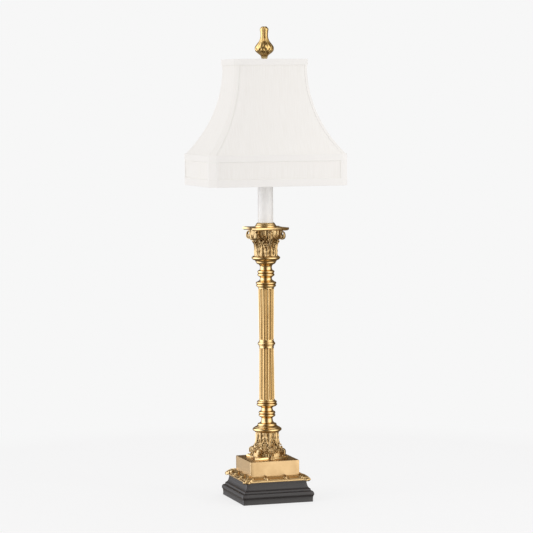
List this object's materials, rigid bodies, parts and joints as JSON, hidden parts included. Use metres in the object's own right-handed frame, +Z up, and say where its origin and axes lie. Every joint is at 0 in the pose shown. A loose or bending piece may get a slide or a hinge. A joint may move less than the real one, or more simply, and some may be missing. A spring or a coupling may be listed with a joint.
{
  "type": "column table lamp",
  "caption": "Tall table lamp: square black base, fluted brass column with leaf capitals, white candle sleeve, flared fabric shade with cut corners, and a brass bud finial.",
  "frame": {"origin": "centre of the base on the surface it stands on", "axes": "+Z up the column, -Y the front, +X to the right seen from the front"},
  "size_m": [0.277, 0.1928, 0.915],
  "materials": {
    "felt": "dark green felt pad",
    "black_wood": "satin black paint rubbed to reddish brown on the edges",
    "rubber_bushing": "matte black",
    "zinc_steel": "zinc plated",
    "antique_brass": "satin antique brass, dark patina in the recesses",
    "candle_white": "satin white",
    "socket_brass": "satin",
    "liner_board": "brown insulating board",
    "phenolic": "dark moulded plastic",
    "bright_brass": "polished",
    "bulb_metal": "bright",
    "bulb_glass": "frosted white",
    "frame_wire": "white enamel",
    "shade_fabric": "off-white slub weave on a stiff backing",
    "shade_tape": "folded off-white tape",
    "cast_brass": "cast antique brass with dark patina in the leaf pattern"
  },
  "bodies": {
    "stand": {"base_felt": "felt", "wood_base": "black_wood", "cord_bushing": "rubber_bushing", "rod_washer": "zinc_steel", "rod_nut": "zinc_steel", "threaded_rod": "zinc_steel", "leaf_tray": "antique_brass", "brass_box": "antique_brass", "foot_capital": "antique_brass", "lower_bell": "antique_brass", "lower_neck": "antique_brass", "lower_collar": "antique_brass", "lower_shaft": "antique_brass", "middle_ring": "antique_brass", "upper_shaft": "antique_brass", "upper_collar": "antique_brass", "upper_neck": "antique_brass", "upper_bell": "antique_brass", "top_capital": "antique_brass", "candle_cup": "antique_brass", "candle_sleeve": "candle_white", "sleeve_cap": "candle_white", "lock_nut": "zinc_steel", "harp_saddle": "bright_brass", "socket_cap": "socket_brass", "socket_shell": "socket_brass", "socket_liner": "liner_board", "socket_block": "phenolic", "socket_screw_shell": "socket_brass", "centre_contact": "socket_brass", "harp": "bright_brass", "harp_stud": "bright_brass"},
    "switch": {"switch_stem": "bright_brass", "switch_knob": "phenolic"},
    "bulb_lift": {"bulb_cap": "bulb_metal", "bulb_contact": "bulb_metal"},
    "bulb": {"bulb_glass": "bulb_glass"},
    "harp_sleeve_left": {"harp_sleeve_left": "bright_brass"},
    "harp_sleeve_right": {"harp_sleeve_right": "bright_brass"},
    "shade": {"spider": "frame_wire", "top_ring": "frame_wire", "gallery_ring": "frame_wire", "bottom_ring": "frame_wire", "shade_ribs": "frame_wire", "shade_panel_front": "shade_fabric", "shade_panel_back": "shade_fabric", "shade_panel_left": "shade_fabric", "shade_panel_right": "shade_fabric", "shade_corner_panels": "shade_fabric", "shade_gallery": "shade_fabric", "gallery_bottom_tape": "shade_tape", "gallery_top_tape": "shade_tape", "shade_top_tape": "shade_tape"},
    "finial_lift": {"finial_base": "bright_brass"},
    "finial": {"finial_bud": "cast_brass"}
  },
  "joints": [
    {"name": "switch_turn", "type": "hinge", "parent": "stand", "child": "switch", "pos_m": [0, -0.0205, 0.663], "axis": [0, -1, 0], "continuous": true},
    {"name": "bulb_rise", "type": "slide", "parent": "stand", "child": "bulb_lift", "axis": [0, 0, 1], "range_m": [0, 0.0254]},
    {"name": "bulb_turn", "type": "hinge", "parent": "bulb_lift", "child": "bulb", "pos_m": [0, 0, 0.7], "axis": [0, 0, 1], "range_deg": [0, 2520]},
    {"name": "harp_sleeve_left_slide", "type": "slide", "parent": "stand", "child": "harp_sleeve_left", "axis": [0, 0, 1], "range_m": [0, 0.012]},
    {"name": "harp_sleeve_right_slide", "type": "slide", "parent": "stand", "child": "harp_sleeve_right", "axis": [0, 0, 1], "range_m": [0, 0.012]},
    {"name": "shade_swivel", "type": "hinge", "parent": "stand", "child": "shade", "pos_m": [0, 0, 0.8476], "axis": [0, 0, 1], "continuous": true},
    {"name": "finial_rise", "type": "slide", "parent": "stand", "child": "finial_lift", "axis": [0, 0, 1], "range_m": [0, 0.008]},
    {"name": "finial_turn", "type": "hinge", "parent": "finial_lift", "child": "finial", "pos_m": [0, 0, 0.86], "axis": [0, 0, 1], "range_deg": [0, 3062]}
  ],
  "couplings": [
    {"joint": "bulb_turn", "follows": "bulb_rise", "rad_per_m": 1731.6},
    {"joint": "finial_turn", "follows": "finial_rise", "rad_per_m": 6679}
  ]
}
